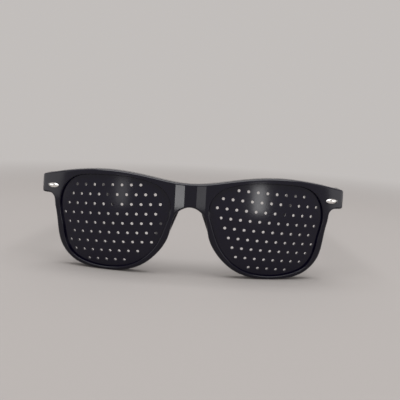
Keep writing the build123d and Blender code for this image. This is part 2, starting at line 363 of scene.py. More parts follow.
@dataclass
class Slab:
    """A wall between two faces, with rounded edges.

    A face turns points of a plane into places and facings. It is also given, for each point, a point of the
    facet that it belongs to, as a crease has two facets.
    """

    outer: Face
    inner: Face
    outer_round: float
    inner_round: float
    steps: int = 4
    probe: float = 0.02
    edge_gap: float = 0.4
    crease_gap: float = 0.2
    tiny: float = 1e-5

    def stack(self, chain: Chain) -> tuple[Array, Array]:
        """The rings that round an edge, from the outer face over the edge to the inner one.

        Args:
            chain: The edge.

        Returns:
            The rings' places and facings.
        """
        out = unit(self.outer(chain.moved(-self.probe))[0] - self.outer(chain.base)[0])
        places, facings = [], []
        walk = [(1, self.outer_round, step) for step in range(self.steps + 1)]
        walk += [(0, self.inner_round, step) for step in range(self.steps, -1, -1)]
        for outside, radius, step in walk:
            turn = math.radians(90 * step / self.steps)
            flat = chain.moved(radius * (1 - math.sin(turn)))
            (a, na), (b, nb) = self.outer(flat), self.inner(flat)
            through = b - a
            length = np.linalg.norm(through, axis=1)[:, None]
            sunk = radius * (1 - math.cos(turn))
            depth, face = (sunk, na) if outside else (length - sunk, nb)
            level = unit(out - (out * face).sum(1)[:, None] * face)
            places.append(a + through * depth / length)
            facings.append(face * math.cos(turn) + level * math.sin(turn))
        return np.array(places), np.array(facings)

    def fill(
        self, skin: Skin, face: Face, loops: Sequence[Array], grid: Array, creases: Sequence[Array] = ()
    ) -> None:
        """Fills one face between its loops with small triangles.

        Args:
            skin: The skin to add to.
            face: The face.
            loops: The outer loop, then the holes.
            grid: Points to use inside.
            creases: Lines of points that triangles may not cross.
        """
        edge = np.vstack(loops)
        grid = grid[inside(grid, loops)]
        for line, gap in [(edge, self.edge_gap)] + [(line, self.crease_gap) for line in creases]:
            grid = grid[np.linalg.norm(grid[:, None] - line[None], axis=2).min(1) > gap]
        edges, start = [], 0
        for loop in loops:
            edges += [(start + i, start + (i + 1) % len(loop)) for i in range(len(loop))]
            start += len(loop)
        start += len(grid)
        for line in creases:
            edges += [(start + i, start + i + 1) for i in range(len(line) - 1)]
            start += len(line)
        points = [Vector(p) for p in np.vstack([edge, grid, *creases])]
        found = delaunay_2d_cdt(points, edges, [], 0, self.tiny)
        flat = np.array([v[:] for v in found[0]])
        corners = np.array([f for f in found[2] if len(f) == 3])
        middle = flat[corners].mean(1)
        keep = inside(middle, loops)
        for three, centre in zip(corners[keep], middle[keep]):
            skin.add(*face(flat[three], np.repeat(centre[None], 3, 0)))

    def skin(self, chain: Chain, grid: Array) -> Skin:
        """The whole wall within one edge.

        Args:
            chain: The edge; an open one leaves a cut to cap.
            grid: Points to use inside.

        Returns:
            The wall's skin.
        """
        made = Skin()
        made.strip(*self.stack(chain), chain.closed)
        for face, edge in ((self.outer, self.outer_round), (self.inner, self.inner_round)):
            self.fill(made, face, [chain.moved(edge)], grid)
        return made


class NodeNet:
    """A node tree, to which nodes are added with their settings and inputs."""

    def __init__(self, tree: bpy.types.NodeTree) -> None:
        """Keeps the tree."""
        self.tree = tree

    def feed(self, node: bpy.types.Node, inputs: dict) -> None:
        """Gives a node its inputs.

        Args:
            node: The node.
            inputs: By name or place, the sockets and numbers to link and the plain values to set.
        """
        for name, value in inputs.items():
            source = value.socket if isinstance(value, Number) else value
            if isinstance(source, bpy.types.NodeSocket):
                self.tree.links.new(source, node.inputs[name])
            else:
                node.inputs[name].default_value = source

    def add(self, kind: str, inputs: Optional[dict] = None, **settings: object) -> bpy.types.Node:
        """Adds a node.

        Args:
            kind: The node's type.
            inputs: Its inputs, as feed takes them.
            settings: Its own settings.

        Returns:
            The node.
        """
        made = self.tree.nodes.new(kind)
        for key, value in settings.items():
            setattr(made, key, value)
        self.feed(made, inputs or {})
        return made

    def out(self, kind: str, inputs: Optional[dict] = None, **settings: object) -> bpy.types.NodeSocket:
        """The first output of a node added in the same way."""
        return self.add(kind, inputs, **settings).outputs[0]


class Number:
    """A number that a tree works out, which sums and products take as they take a plain one."""

    def __init__(self, tree: "GeometryTree", socket: bpy.types.NodeSocket) -> None:
        """Keeps the tree and the socket that gives the number."""
        self.tree, self.socket = tree, socket

    def __add__(self, other: "Term") -> "Number":
        """The sum."""
        return self.tree.math("ADD", self, other)

    def __sub__(self, other: "Term") -> "Number":
        """The difference."""
        return self.tree.math("SUBTRACT", self, other)

    def __mul__(self, other: "Term") -> "Number":
        """The product."""
        return self.tree.math("MULTIPLY", self, other)

    def __truediv__(self, other: "Term") -> "Number":
        """The quotient."""
        return self.tree.math("DIVIDE", self, other)


Term = Union[Number, float]
Geometry = bpy.types.NodeSocket


class GeometryTree(NodeNet):
    """A Geometry Nodes tree with named inputs."""

    def __init__(self, name: str, sizes: dict[str, float], inputs: dict[str, object]) -> None:
        """Opens the tree with its geometry sockets and declares what else goes in.

        Args:
            name: The tree's name.
            sizes: The size inputs, in metres or radians.
            inputs: The object and material inputs.
        """
        super().__init__(bpy.data.node_groups.new(name, "GeometryNodeTree"))
        self.values = {**sizes, **inputs}
        self.ids: dict[str, str] = {}
        face = self.tree.interface
        face.new_socket("Geometry", in_out="OUTPUT", socket_type="NodeSocketGeometry")
        face.new_socket("Geometry", in_out="INPUT", socket_type="NodeSocketGeometry")
        for label, value in self.values.items():
            kind = "NodeSocket" + ("Float" if label in sizes else type(value).__name__)
            self.ids[label] = face.new_socket(label, in_out="INPUT", socket_type=kind).identifier
        self.given = self.add("NodeGroupInput").outputs
        self.result = self.add("NodeGroupOutput")

    def numbers(self, *names: str) -> list[Number]:
        """The named size inputs as numbers."""
        return [Number(self, self.given[name]) for name in names]

    def math(self, operation: str, *values: Term) -> Number:
        """A number worked out from one or two others."""
        return Number(self, self.out("ShaderNodeMath", dict(enumerate(values)), operation=operation))

    def vector(self, x: Term, y: Term, z: Term) -> bpy.types.NodeSocket:
        """A vector from three numbers."""
        return self.out("ShaderNodeCombineXYZ", {0: x, 1: y, 2: z})

    def step(self, kind: str, inputs: dict, **settings: object) -> Geometry:
        """The first output of a new geometry node, whose kind is given without its first two words."""
        return self.out("GeometryNode" + kind, inputs, **settings)

    def moved(self, geometry: Geometry, x: Term, y: Term, z: Term) -> Geometry:
        """A geometry, shifted."""
        return self.step("Transform", {"Geometry": geometry, "Translation": self.vector(x, y, z)})

    def cut(self, body: Geometry, tool: Geometry) -> Geometry:
        """A closed body without the room of a closed tool."""
        inputs = {"Mesh 1": body, "Mesh 2": tool}
        return self.step("MeshBoolean", inputs, operation="DIFFERENCE", solver="MANIFOLD")

    def real(self, geometry: Geometry) -> Geometry:
        """A geometry whose instances are made real."""
        return self.step("RealizeInstances", {"Geometry": geometry})

    def end(self, geometry: Geometry) -> None:
        """Ends the tree with a geometry, made real and given the finish."""
        inputs = {"Geometry": self.real(geometry), "Material": self.given["Finish"]}
        self.feed(self.result, {"Geometry": self.step("SetMaterial", inputs)})

    def run(self, onto: bpy.types.Object) -> bpy.types.Mesh:
        """Runs the tree on an object, which is then gone.

        Args:
            onto: The object whose mesh goes in.

        Returns:
            The outcome as a plain mesh.
        """
        modifier = onto.modifiers.new(self.tree.name, "NODES")
        modifier.node_group = self.tree
        for name, value in self.values.items():
            modifier[self.ids[name]] = value
        bpy.context.view_layer.update()
        made = bpy.data.meshes.new_from_object(onto.evaluated_get(bpy.context.evaluated_depsgraph_get()))
        onto.modifiers.remove(modifier)
        bpy.data.objects.remove(onto)
        return made


@dataclass(frozen=True)
class Finish:
    """A procedural finish: a shader with fine marks in its gloss, colour and level."""

    name: str
    slot: Slot
    colour: tuple[float, float, float]
    roughness: float
    metallic: float = 0.0
    ior: float = 1.5
    mark_scale: float = 400.0
    mark_depth: float = 0.02
    mark_distance: float = 0.0002
    gloss_spread: float = 0.05
    tint_spread: float = 0.15
    stretch: float = 1.0
    least_roughness: float = 0.02
    cloud: tuple[float, float] = (0.18, 3.0)
    grain: tuple[float, float] = (4.0, 2.0)

    def material(self) -> bpy.types.Material:
        """Gives the finish's node material, built at its first use.

        Returns:
            The material.
        """
        made = bpy.data.materials.get(self.name)
        if made:
            return made
        made = bpy.data.materials.new(self.name)
        made.use_nodes = True
        net = NodeNet(made.node_tree)
        place = net.add("ShaderNodeTexCoord").outputs["Object"]
        stretched = net.out("ShaderNodeMapping", {"Vector": place, "Scale": (1.0, 1.0, self.stretch)})
        cloud, grain = (
            net.out(
                "ShaderNodeTexNoise",
                {"Vector": stretched, "Scale": self.mark_scale * share, "Detail": detail},
            )
            for share, detail in (self.cloud, self.grain)
        )
        least = max(self.roughness - self.gloss_spread, self.least_roughness)
        gloss = {"Value": cloud, "To Min": least, "To Max": self.roughness + self.gloss_spread}
        low, high = (
            (*(min(c * (1 + spread), 1.0) for c in self.colour), 1)
            for spread in (-self.tint_spread, self.tint_spread)
        )
        tint = net.add("ShaderNodeMix", {0: grain, 6: low, 7: high}, data_type="RGBA")
        relief = {"Strength": self.mark_depth, "Distance": self.mark_distance, "Height": grain}
        shader = {
            "Metallic": self.metallic,
            "IOR": self.ior,
            "Roughness": net.out("ShaderNodeMapRange", gloss),
            "Base Color": tint.outputs[2],
            "Normal": net.out("ShaderNodeBump", relief),
        }
        net.feed(made.node_tree.nodes["Principled BSDF"], shader)
        return made

    def ready(self, piece: bpy.types.Object, body: str, node: Optional[str] = None) -> None:
        """Dresses a finished piece in this finish alone and ties it to its body.

        Args:
            piece: The piece.
            body: The body that it moves with.
            node: The solid that it stands for, where it stands for one.
        """
        piece.data.materials.clear()
        piece.data.materials.append(self.material())
        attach(piece, body)
        if node:
            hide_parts(node)

    def ready_pair(self, skin: Skin, name: str, body: str, node: Optional[str] = None) -> None:
        """Makes and dresses a left piece and its mirror image.

        Args:
            skin: The left skin.
            name: The pieces' name, with {side} for the side's word.
            body: The bodies' name, written the same way.
            node: The name of the solids that they stand for, written the same way.
        """
        for side, form in ((Side.LEFT, skin), (Side.RIGHT, skin.mirrored())):
            names = [text and text.format(side=side.word) for text in (name, body, node)]
            self.ready(form.mesh(names[0]), *names[1:])


FRAME_PLASTIC = Finish("gloss_black_plastic", Slot.FRAME, (0.0020, 0.0014, 0.0085), 0.13, ior=1.41)
LENS_PLASTIC = Finish(
    "black_lens_sheet", Slot.LENS, (0.0024, 0.0016, 0.0105), 0.16, ior=1.41, gloss_spread=0.04
)
HINGE_STEEL = Finish("hinge_steel", Slot.HINGE, (0.52, 0.52, 0.53), 0.34, 1.0, mark_scale=900, stretch=12.0)
SCREW_STEEL = Finish("screw_steel", Slot.SCREW, (0.70, 0.70, 0.71), 0.22, 1.0, mark_scale=900)
STUD_METAL = Finish(
    "bright_stud", Slot.STUD, (0.86, 0.85, 0.83), 0.16, 1.0, mark_scale=700, mark_depth=0.002
)


@dataclass(frozen=True)
class FaceForm:
    """The curved face that the front and the lenses follow, with the sizes of the solids in millimetres."""

    front_y: float = -75.79620
    radius: float = 125.0
    centre_x: float = 21.0
    half_width: float = 72.5
    joint_y: float = 20.0020
    thickness: float = 4.4
    end_wall: float = 4.3
    corner_radius: float = 2.2
    inner_radius: float = 2.5
    eye: tuple[float, float] = (53.4, 44.0)
    lens_x: float = 35.6
    lens_z: float = 23.5
    shares: tuple = (
        (-0.500, 0.228), (-0.468, 0.024), (-0.407, -0.169), (-0.312, -0.328), (-0.170, -0.447),
        (0.052, -0.500), (0.239, -0.472), (0.369, -0.397), (0.435, -0.283), (0.470, -0.078),
        (0.500, 0.160), (0.470, 0.322), (0.382, 0.442), (0.201, 0.494), (0.006, 0.500),
        (-0.265, 0.467), (-0.424, 0.385),
    )

    def opening(self, count: int) -> Chain:
        """The left opening's edge in x and z as evenly spaced points, with the way out of it at each."""
        points = [(self.lens_x + u * self.eye[0], self.lens_z + v * self.eye[1]) for u, v in self.shares]
        return Chain.of(along(spline(points, True), np.arange(count) / count, True), -1.0, True)


@dataclass
class PlanCurve:
    """One side of the front in plan, as a walk from the middle to the joint round the end's corner."""

    form: FaceForm
    radius: float
    side_x: float
    corner: float

    def __post_init__(self) -> None:
        """Works out where the walk's stretches end."""
        f, reach = self.form, self.radius - self.corner
        self.turn = math.asin((self.side_x - self.corner - f.centre_x) / reach)
        self.arc_end = f.centre_x + self.radius * self.turn
        self.corner_end = self.arc_end + self.corner * (math.pi / 2 - self.turn)
        self.end = self.corner_end + f.joint_y - f.radius + reach * math.cos(self.turn)

    def way(self, x: Array) -> Array:
        """How far along the walk a place of the face lies, from its x."""
        past = np.clip(x - self.form.centre_x, 0, None)
        return np.minimum(x, self.form.centre_x) + self.radius * np.arcsin(past / self.radius)

    def at(self, way: Array) -> tuple[Array, Array, Array, Array]:
        """Places in plan and the way they face.

        Args:
            way: Distances along the walk.

        Returns:
            x, y, and the facing's x and y.
        """
        f, past = self.form, way - self.form.centre_x
        turn = np.clip(past / self.radius, 0, self.turn)
        heading = turn + np.clip((way - self.arc_end) / self.corner, 0, math.pi / 2 - self.turn)
        sin, cos = np.sin(heading), np.cos(heading)
        x = np.minimum(past, 0) + self.radius * np.sin(turn) + self.corner * (sin - np.sin(turn))
        y = f.radius - self.radius * np.cos(turn) - self.corner * (cos - np.cos(turn))
        return f.centre_x + x, y + np.clip(way - self.corner_end, 0, None), sin, -cos


@dataclass
class Front:
    """The moulded front: rims, bridge and endpieces in one."""

    form: FaceForm = FaceForm()
    brow_z: float = 48.0
    brow_drop: float = 4.6
    brow: tuple = ((0.0, 0.98), (0.276, 0.41), (0.552, 0.0), (0.772, 0.30), (1.0, 1.0))
    bridge: tuple[float, float] = (17.8, 10.8)
    arch: tuple[float, float] = (0.24, 0.13)
    rim_shares: tuple = (0.02, 0.08, 0.14, 0.20, 0.25, 0.30, 0.35, 0.40, 0.46, 0.52, 0.57)
    rim_widths: tuple[float, float] = (1.5, 3.0)
    end_height: float = 8.8
    notch: tuple[float, float] = (6.6, 3.2)
    relief: tuple[float, float, float] = (0.9, 2.8, 7.0)
    switch_x: float = 62.0
    edge_round: float = 0.9
    back_round: float = 0.55
    opening_round: float = 0.55
    brow_step: float = 0.7
    row_step: float = 1.2
    grid: Spans = ((0.0, 90.0, 1.4), (0.5, 48.0, 1.2))
    rim_points: int = 1600
    fine_steps: int = 3000
    low_steps: int = 260
    crease_clear: int = 6
    tail_points: int = 24
    opening_points: int = 220
    opening_steps: int = 3
    bridge_foot: float = 10.0

    def __post_init__(self) -> None:
        """Makes the plan walks of the outer and the inner face."""
        f = self.form
        self.outer = PlanCurve(f, f.radius, f.half_width, f.corner_radius)
        self.inner = PlanCurve(f, f.radius - f.thickness, f.half_width - f.end_wall, f.inner_radius)

    def face(self, outside: bool, flat: Array, region: Optional[Array] = None) -> tuple[Array, Array]:
        """The outer or inner face, swung about the face's cross axis, with the bridge's relief outside.

        Args:
            outside: Whether it is the outer one.
            flat: Points, as the outer walk and the height.
            region: For each, a point of its facet.

        Returns:
            The places and the facings.
        """
        f, (way, z) = self.form, flat.T
        x, y, nx, ny = self.outer.at(way)
        if not outside:
            first, second = (walk.way(np.array(self.switch_x)) for walk in (self.outer, self.inner))
            share = np.clip((way - first) / (self.outer.end - first), 0, 1)
            inner_way = np.where(way < first, self.inner.way(x), second + share * (self.inner.end - second))
            x, y, nx, ny = self.inner.at(inner_way)
            nx, ny = -nx, -ny
        reach = f.radius - y
        swing = np.arcsin(np.clip((z - f.lens_z) / reach, -1, 1))
        places = np.column_stack([x, f.front_y + f.radius - reach * np.cos(swing), z])
        facings = np.column_stack([nx, ny * np.cos(swing), -ny * np.sin(swing)])
        if outside:
            deep, flat_half, edge = self.relief
            places[:, 1] += np.clip((edge - x) / (edge - flat_half), 0, 1) * deep
            spot = x if region is None else region[:, 0]
            facings[:, 0] += np.where((spot > flat_half) & (spot < edge), -deep / (edge - flat_half), 0)
            facings = unit(facings)
        return places, facings

    def rim_edge(self) -> Array:
        """Draws the rims' nose-side edge from the middle of the bridge, down and round to the notch.

        Returns:
            The edge in x and z.
        """
        chain = self.form.opening(self.rim_points)
        at = (np.array(self.rim_shares) * self.rim_points).astype(int)
        sideways = np.abs(chain.inward[at, 0])[:, None]
        width = self.rim_widths[0] + (self.rim_widths[1] - self.rim_widths[0]) * sideways
        rim = chain.base[at] + chain.inward[at] * width
        bottom = self.brow_z - self.brow_drop * self.brow[0][1] - self.bridge[1]
        side = [(self.arch[0] * self.bridge[0], bottom - self.arch[1] * self.bridge[1]), *rim.tolist()]
        curve = spline([(-x, z) for x, z in reversed(side)] + [(0.0, bottom)] + side)
        return curve[len(curve) // 2 :]

    def top(self) -> Chain:
        """Draws the left half's top edge.

        Returns:
            The edge, as the outer walk and the height.
        """
        brow = [(x * self.form.half_width, self.brow_z - drop * self.brow_drop) for x, drop in self.brow]
        whole = spline([(-x, z) for x, z in reversed(brow[1:])] + brow)
        ways = np.append(np.arange(0, self.outer.end - self.brow_step / 2, self.brow_step), self.outer.end)
        height = np.interp(self.outer.at(ways)[0], whole[:, 0], whole[:, 1])
        return Chain.of(np.column_stack([ways, np.minimum(height, self.brow_z)]), -1.0, upright_ends=True)

    def bottom(self) -> Chain:
        """Draws the left half's bottom edge, with a point on each crease of the relief.

        Returns:
            The edge, as the outer walk and the height.
        """
        rim = self.rim_edge()
        end_z = self.brow_z - self.brow_drop - self.end_height
        notch = np.array([self.form.half_width - self.notch[0], end_z])
        low = np.vstack([rim, corner_arc(rim[-1], notch, notch + [1.0, 0.0], self.notch[1])])
        low[:, 0] = self.outer.way(low[:, 0])
        tail = np.linspace(low[-1, 0], self.outer.end, self.tail_points)[1:]
        low = np.vstack([low, np.column_stack([tail, np.full(len(tail), end_z)])])
        fine = Chain.of(along(low, np.linspace(0, 1, self.fine_steps + 1)), 1.0, upright_ends=True)
        ring = fine.moved(self.edge_round)[:, 0]
        picks = set(np.linspace(0, self.fine_steps, self.low_steps + 1).astype(int).tolist())
        for mark in self.relief[1:]:
            at = int(np.argmax(ring > mark))
            picks -= {p for p in picks if abs(p - at) < self.crease_clear and 0 < p < self.fine_steps}
            picks.add(at)
            share = (mark - ring[at - 1]) / (ring[at] - ring[at - 1])
            for line in (fine.base, fine.inward):
                line[at] = line[at - 1] * (1 - share) + line[at] * share
        chosen = sorted(picks)
        return Chain(fine.base[chosen], fine.inward[chosen])

    def column(self, at: float, low: float, high: float) -> Array:
        """Points of an upright line, clear of both its ends."""
        heights = np.arange(low + self.row_step, high - self.row_step / 2, self.row_step)
        return np.column_stack([np.full(len(heights), at), heights])

    def skin(self) -> Skin:
        """Makes the left half's skin, open at the middle.

        Returns:
            The skin.
        """
        faces = partial(self.face, True), partial(self.face, False)
        top, bottom, hole = self.top(), self.bottom(), self.form.opening(self.opening_points)
        hole.base[:, 0] = self.outer.way(hole.base[:, 0])
        hole = Chain.of(hole.base, -1.0, True)
        slab = Slab(*faces, self.edge_round, self.back_round)
        hole_slab = Slab(*faces, self.opening_round, self.opening_round, self.opening_steps)
        skin, ends = Skin(), []
        for chain, wall in ((top, slab), (bottom, slab), (hole, hole_slab)):
            places, facings = wall.stack(chain)
            skin.strip(places, facings, chain.closed)
            ends.append(places[:, -1])
        skin.cap(ends[:2], (0, 1, 0))
        grid = lattice(self.grid)
        grid = grid[grid[:, 0] > 0]
        for face, edge, marks in zip(faces, (self.edge_round, self.back_round), (self.relief[1:], ())):
            up, down = top.moved(edge), bottom.moved(edge)
            creases = []
            for mark in marks:
                high = up[np.argmin(np.abs(up[:, 0] - mark))]
                off = np.where(down[:, 1] < self.bridge_foot, np.inf, np.abs(down[:, 0] - mark))
                low = down[np.argmin(off)]
                creases.append(np.vstack([low, self.column(mark, low[1], high[1]), high]))
            seam = self.column(0.0, down[0, 1], up[0, 1])
            loops = [np.vstack([up, down[::-1], seam]), hole.moved(self.opening_round)]
            slab.fill(skin, face, loops, grid, creases)
        return skin

    def build(self) -> None:
        """Builds and dresses the front."""
        half = self.skin()
        FRAME_PLASTIC.ready(half.joined(half.mirrored()).mesh("front_shell"), "front", "front_frame")


@dataclass
class Pads:
    """The two nose pads: fins with round toes, thicker at the root, sunk into the rims."""

    form: FaceForm = FaceForm()
    root: tuple[float, float, float] = (9.6, 2.4, 23.6)
    reach: float = 11.0
    height: float = 19.0
    thickness: float = 3.4
    splay: float = 24.0
    lean: float = 21.0
    toe: float = 6.5
    heel: float = 1.5
    swell: tuple[float, float] = (4.5, 0.9)
    edge_round: float = 1.35
    round_steps: int = 5
    corner_steps: int = 12
    edge_points: int = 150
    grid: Spans = ((0.5, 11.0, 1.0), (-9.0, 9.1, 1.0))

    def face(self, sign: float, flat: Array, region: Optional[Array] = None) -> tuple[Array, Array]:
        """One face of the left pad.

        Args:
            sign: +1 for the face away from the nose, -1 for the one at it.
            flat: Points, as the reach and the height.
            region: Not used, as there are no creases.

        Returns:
            The places and the facings.
        """
        ends, rise = self.swell
        fade = np.clip(1 - flat[:, 0] / ends, 0, 1)
        local = np.column_stack([(self.thickness / 2 + fade**2 * rise) * sign, flat[:, 0], flat[:, 1]])
        slope = 2 * fade / ends * rise
        normal = unit(np.column_stack([np.full(len(flat), sign), slope, np.zeros(len(flat))]))
        lean, splay = math.radians(-self.lean), math.radians(-self.splay)
        turn = np.array(Matrix.Rotation(lean, 3, "Y") @ Matrix.Rotation(splay, 3, "Z"))
        return local @ turn.T + self.root + [0.0, self.form.front_y, 0.0], normal @ turn.T

    def build(self) -> None:
        """Builds and dresses both pads."""
        low, high = -self.height / 2, self.height / 2
        corners = np.array([(0, low), (self.reach, low), (self.reach, high), (0, high)])
        edge = [
            corner_arc(corners[i - 1], corners[i], corners[(i + 1) % 4], radius, self.corner_steps)
            for i, radius in enumerate((self.heel, self.toe, self.toe, self.heel))
        ]
        shares = np.arange(self.edge_points) / self.edge_points
        chain = Chain.of(along(np.vstack(edge), shares, True), 1.0, True)
        faces = partial(self.face, 1.0), partial(self.face, -1.0)
        slab = Slab(*faces, self.edge_round, self.edge_round, self.round_steps)
        FRAME_PLASTIC.ready_pair(slab.skin(chain, lattice(self.grid)), "{side}_nose_pad", "front")


@dataclass
class Temple:
    """A temple arm: it slopes down from the joint and hooks behind the ear."""

    form: FaceForm = FaceForm()
    outer_x: float = 72.2
    thickness: float = 4.0
    tip_thickness: float = 3.2
    tip_bow: float = 3.0
    bow_start: float = 55.0
    bow_past: float = 30.0
    gap: float = 0.1
    hinge_z: float = 39.0
    slope: float = 6.0
    bend_start: float = 92.0
    bend_radius: float = 28.0
    ear_angle: float = 42.0
    heights: tuple[float, float, float, float] = (8.8, 10.2, 7.8, 9.6)
    shares: tuple[float, float, float] = (0.22, 0.62, 0.84)
    edge_round: float = 0.9
    edge_steps: int = 400
    tip_points: int = 30
    grid: Spans = ((FaceForm.joint_y + 2.0, 160.0, 2.0), (-1.0, 50.0, 1.5))

    def __post_init__(self) -> None:
        """Works out the bend and the length, as the solids have them."""
        slope, ear = math.radians(self.slope), math.radians(self.ear_angle)
        self.bend_end = self.bend_start + self.bend_radius * (ear - slope)
        drop = self.bend_radius * (math.cos(slope) - math.cos(ear))
        drop = self.hinge_z - self.bend_start * math.sin(slope) - drop - self.heights[3] / 2
        self.length = self.bend_end + drop / math.sin(ear)
        self.tip_y = self.point(self.length)[0]

    def face(self, outside: bool, flat: Array, region: Optional[Array] = None) -> tuple[Array, Array]:
        """The left temple's outer or inner face: straight, then bowed towards the head.

        Args:
            outside: Whether it is the outer one.
            flat: Points, as the distance behind the front and the height.
            region: Not used, as there are no creases.

        Returns:
            The places and the facings.
        """
        start = self.form.joint_y + self.bow_start
        x0 = self.outer_x if outside else self.outer_x - self.thickness
        end_x = self.outer_x - self.tip_bow - (0.0 if outside else self.tip_thickness)
        run, shift = self.tip_y + self.bow_past - start, x0 - end_x
        radius = (run**2 + shift**2) / (2 * shift)
        past = np.clip(flat[:, 0] - start, 0, None)
        ahead = np.sqrt(radius**2 - past**2)
        normal = unit(np.column_stack([np.ones(len(past)), past / ahead, np.zeros(len(past))]))
        places = np.column_stack([x0 - radius + ahead, flat[:, 0] + self.form.front_y, flat[:, 1]])
        return places, normal if outside else -normal

    def point(self, distance: float) -> tuple[float, float, float]:
        """Finds a point of the middle line.

        Args:
            distance: How far it is from the joint.

        Returns:
            Its y and z, and the slope there.
        """
        slope = math.radians(self.slope)
        straight = min(distance, self.bend_start)
        past = max(distance - self.bend_end, 0)
        turned = slope + (distance - straight - past) / self.bend_radius
        y = self.form.joint_y + straight * math.cos(slope) + past * math.cos(turned)
        z = self.hinge_z - straight * math.sin(slope) - past * math.sin(turned)
        y += self.bend_radius * (math.sin(turned) - math.sin(slope))
        return y, z - self.bend_radius * (math.cos(slope) - math.cos(turned)), turned

    def outline(self) -> Array:
        """Draws the side outline from the joint's top, round the tip and back along the bottom.

        Returns:
            The outline, as the distance behind the front and the height.
        """
        first, shoulder, waist, ear = (h / 2 for h in self.heights)
        at = [-first, 0.0, *(share * self.length for share in self.shares), self.length]
        edges = []
        for sign in (1, -1):
            line = []
            for distance, reach in zip(at, (first, first, shoulder, waist, ear, ear)):
                y, z, turned = self.point(distance)
                line.append((y + sign * reach * math.sin(turned), z + sign * reach * math.cos(turned)))
            edges.append(spline(line))
        y, z, turned = self.point(self.length)
        angles = np.linspace(math.pi / 2 - turned, -math.pi / 2 - turned, self.tip_points)[1:-1]
        tip = np.column_stack([y + ear * np.cos(angles), z + ear * np.sin(angles)])
        butt = self.form.joint_y + self.gap
        top, bottom = (e[e[:, 0] > butt + self.gap / 2] for e in edges)
        start = [(butt, np.interp(butt, e[:, 0], e[:, 1])) for e in edges]
        return np.vstack([[start[0]], top, tip, bottom[::-1], [start[1]]])

    def build(self) -> None:
        """Builds and dresses both temples."""
        line = along(self.outline(), np.linspace(0, 1, self.edge_steps + 1))
        line[:, 1] = np.maximum(line[:, 1], 0.0)
        chain = Chain.of(line, -1.0, upright_ends=True)
        slab = Slab(partial(self.face, True), partial(self.face, False), self.edge_round, self.edge_round)
        skin = slab.skin(chain, lattice(self.grid))
        rings = slab.stack(chain)[0]
        skin.cap([rings[:, 0], rings[:, -1]], (0, -1, 0))
        FRAME_PLASTIC.ready_pair(skin, "{side}_temple_arm_piece", "{side}_temple_arm", "{side}_temple")


